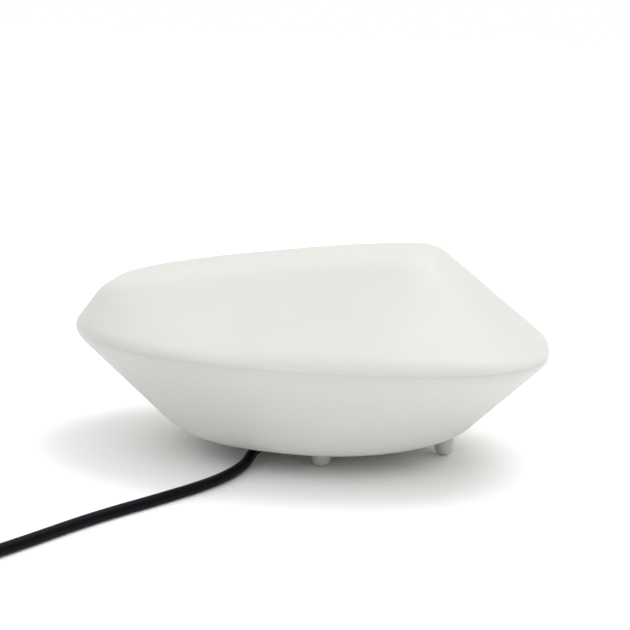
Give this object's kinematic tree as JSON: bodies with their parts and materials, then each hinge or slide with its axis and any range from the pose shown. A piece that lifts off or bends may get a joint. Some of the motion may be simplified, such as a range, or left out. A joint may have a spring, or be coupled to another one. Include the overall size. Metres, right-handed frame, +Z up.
{
  "type": "gnss receiver",
  "caption": "Wedge-shaped plastic satellite receiver on round feet, with antenna stack, boards, and a fixed cable ending in a round screw connector with a turning nut.",
  "frame": {"origin": "centre of the receiver's plan, on the surface that its feet stand on", "axes": "+X from the low nose to the blunt tail, +Y to the right of one who looks from the tail to the nose, +Z up"},
  "size_m": [0.2573, 0.2703, 0.0875],
  "materials": {
    "housing_plastic": "fine-textured moulded off-white plastic",
    "foot_plastic": "smooth off-white plastic",
    "grey_rubber": "matte soft rubber",
    "black_rubber": "satin moulded rubber",
    "black_plastic": "satin moulded plastic",
    "cable_jacket": "satin black jacket",
    "tie_fabric": "woven hook-and-loop tape",
    "board": "solder-masked circuit board",
    "aluminium": "bright sheet",
    "steel": "plain",
    "brass": "turned",
    "gold": "gold-plated contact",
    "ceramic": "fired ceramic",
    "tin": "tinned shield",
    "ferrite": "sintered",
    "nickel": "nickel-plated brass, satin"
  },
  "bodies": {
    "receiver": {"amplifier_shield": "tin", "antenna_pillar_1": "brass", "antenna_pillar_2": "brass", "antenna_pillar_3": "brass", "antenna_pillar_4": "brass", "board_connector": "black_plastic", "bottom_housing": "housing_plastic", "cable_coil": "cable_jacket", "cable_outlet": "black_rubber", "cable_run": "cable_jacket", "cable_tail": "cable_jacket", "coax_jumper": "cable_jacket", "coil_tie": "tie_fabric", "connector_boot": "black_rubber", "connector_insert": "black_plastic", "connector_pin_1": "gold", "connector_pin_2": "gold", "connector_pin_3": "gold", "connector_pin_4": "gold", "connector_shell": "black_plastic", "foot_left": "foot_plastic", "foot_nose": "foot_plastic", "foot_right": "foot_plastic", "foot_tail": "foot_plastic", "gnss_module": "tin", "ground_plane": "aluminium", "ground_plane_screw_1": "steel", "ground_plane_screw_2": "steel", "ground_plane_screw_3": "steel", "ground_plane_screw_4": "steel", "housing_screw_1": "steel", "housing_screw_2": "steel", "housing_screw_3": "steel", "housing_screw_4": "steel", "inner_lead": "cable_jacket", "main_board": "board", "motion_sensor": "black_plastic", "outlet_nut": "black_plastic", "outlet_washer": "black_rubber", "patch_feed_pin_1": "gold", "patch_feed_pin_2": "gold", "patch_lower": "ceramic", "patch_upper": "ceramic", "power_converter": "black_plastic", "power_inductor": "ferrite", "processor": "black_plastic", "screw_plug_1": "grey_rubber", "screw_plug_2": "grey_rubber", "screw_plug_3": "grey_rubber", "screw_plug_4": "grey_rubber", "seam_gasket": "grey_rubber", "strain_relief": "black_rubber", "threaded_insert_1": "brass", "threaded_insert_2": "brass", "threaded_insert_3": "brass", "threaded_insert_4": "brass", "top_cover": "housing_plastic", "vent_plug": "black_plastic"},
    "coupling_nut": {"coupling_nut": "nickel"}
  },
  "joints": [
    {"name": "coupling_nut_spin", "type": "hinge", "parent": "receiver", "child": "coupling_nut", "pos_m": [-0.15011, -0.08042, 0.0075], "axis": [0, 1, 0], "continuous": true}
  ]
}
